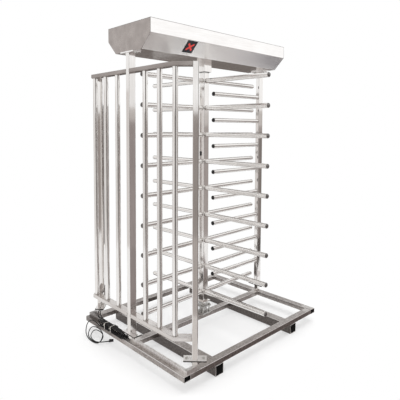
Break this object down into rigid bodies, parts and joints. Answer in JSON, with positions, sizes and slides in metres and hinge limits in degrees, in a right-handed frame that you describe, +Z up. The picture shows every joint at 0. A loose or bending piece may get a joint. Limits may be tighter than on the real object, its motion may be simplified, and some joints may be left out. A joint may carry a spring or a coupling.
{
  "type": "full height turnstile",
  "caption": "Full height turnstile: a winged rotor turns between a comb barrier and a curved bar fence under a boxed head, on a raised tube base, with its cable tied and coiled.",
  "frame": {"origin": "on the rotor's axis at the floor, under the middle of the base frame", "axes": "+Z up; +X from the rotor to the comb's post, along the canopy; +Y across the passage, away from the indicator that faces the front"},
  "size_m": [1.683, 1.3762, 2.532],
  "materials": {
    "raw_steel": "unpolished, slightly brown mill finish with brushed weld areas",
    "stainless": "brushed along its length",
    "canopy_stainless": "fine satin brushing",
    "zinc": "bright zinc plated",
    "black_plastic": "satin moulded",
    "indicator_black": "glossy",
    "indicator_red": "dark lens with a lit red cross",
    "machined_steel": "turned and milled",
    "cast_housing": "cast and faced",
    "channel_steel": "grey zinc primer",
    "solenoid_black": "black enamel",
    "board_green": "lacquered circuit board",
    "supply_case": "folded sheet",
    "cable_black": "black sheath",
    "tie_plastic": "natural nylon"
  },
  "bodies": {
    "frame": {"skid_left": "raw_steel", "skid_right": "raw_steel", "base_tube_left": "raw_steel", "base_tube_right": "raw_steel", "base_tube_front": "raw_steel", "base_tube_middle": "raw_steel", "base_tube_back": "raw_steel", "fence_track": "raw_steel", "end_plugs": "black_plastic", "foot_legs": "stainless", "foot_plates": "stainless", "frame_bolts": "zinc", "main_post_left": "stainless", "main_post_right": "stainless", "fence_post_front": "stainless", "fence_post_back": "stainless", "fence_rails_top": "stainless", "fence_rails_bottom": "stainless", "fence_bars_front": "stainless", "fence_bars_back": "stainless", "comb_arms": "stainless", "comb_caps": "black_plastic", "canopy_tray": "canopy_stainless", "canopy_end_left": "canopy_stainless", "canopy_end_right": "canopy_stainless", "lid_fittings": "zinc", "top_plates": "stainless", "top_sleeve": "stainless", "indicator_housings": "indicator_black", "indicator_lenses": "indicator_red", "pivot_bearing": "cast_housing", "head_channel": "channel_steel", "top_bearing": "cast_housing", "index_spring": "machined_steel", "solenoids": "solenoid_black", "control_board": "board_green", "power_supply": "supply_case", "cable_gland": "black_plastic", "cable_runs": "cable_black", "cable_hank": "cable_black", "cable_coil": "cable_black", "cable_plug": "black_plastic", "cable_ties": "tie_plastic"},
    "rotor": {"rotor_column": "stainless", "wing_left": "stainless", "wing_right": "stainless", "wing_front": "stainless", "wing_back": "stainless", "arm_caps": "stainless", "column_plug": "black_plastic", "rotor_foot": "stainless", "rotor_shaft": "machined_steel", "index_cam": "machined_steel"},
    "index_arm": {"index_arm": "machined_steel"},
    "pawl_in": {"pawl_in": "machined_steel"},
    "pawl_out": {"pawl_out": "machined_steel"},
    "plunger_in": {"plunger_in": "machined_steel"},
    "plunger_out": {"plunger_out": "machined_steel"},
    "lid": {"canopy_lid": "canopy_stainless"},
    "lid_lock": {"lid_lock": "zinc"}
  },
  "joints": [
    {"name": "rotor_spin", "type": "hinge", "parent": "frame", "child": "rotor", "pos_m": [0, 0, 0.232], "axis": [0, 0, 1], "continuous": true},
    {"name": "index_swing", "type": "hinge", "parent": "frame", "child": "index_arm", "pos_m": [-0.1, -0.106, 2.386], "axis": [0, 0, 1], "range_deg": [0, 6]},
    {"name": "pawl_in_turn", "type": "hinge", "parent": "frame", "child": "pawl_in", "pos_m": [-0.122, 0.05626, 2.366], "axis": [0, 0, 1], "range_deg": [0, 10], "stiffness_Nm_per_rad": 1, "springref_deg": -5.73},
    {"name": "pawl_out_turn", "type": "hinge", "parent": "frame", "child": "pawl_out", "pos_m": [0.122, -0.05626, 2.366], "axis": [0, 0, 1], "range_deg": [0, 10], "stiffness_Nm_per_rad": 1, "springref_deg": -5.73},
    {"name": "plunger_in_slide", "type": "slide", "parent": "frame", "child": "plunger_in", "axis": [-1, 0, 0], "range_m": [0, 0.0075]},
    {"name": "plunger_out_slide", "type": "slide", "parent": "frame", "child": "plunger_out", "axis": [1, 0, 0], "range_m": [0, 0.0075]},
    {"name": "lid_open", "type": "hinge", "parent": "frame", "child": "lid", "pos_m": [0, 0.2743, 2.526], "axis": [-1, 0, 0], "range_deg": [0, 75]},
    {"name": "lock_turn", "type": "hinge", "parent": "lid", "child": "lid_lock", "pos_m": [0, -0.232, 2.526], "axis": [0, 0, -1], "range_deg": [0, 90]}
  ],
  "couplings": [
    {"joint": "plunger_in_slide", "follows": "pawl_in_turn", "m_per_rad": 0.04},
    {"joint": "plunger_out_slide", "follows": "pawl_out_turn", "m_per_rad": 0.04}
  ]
}
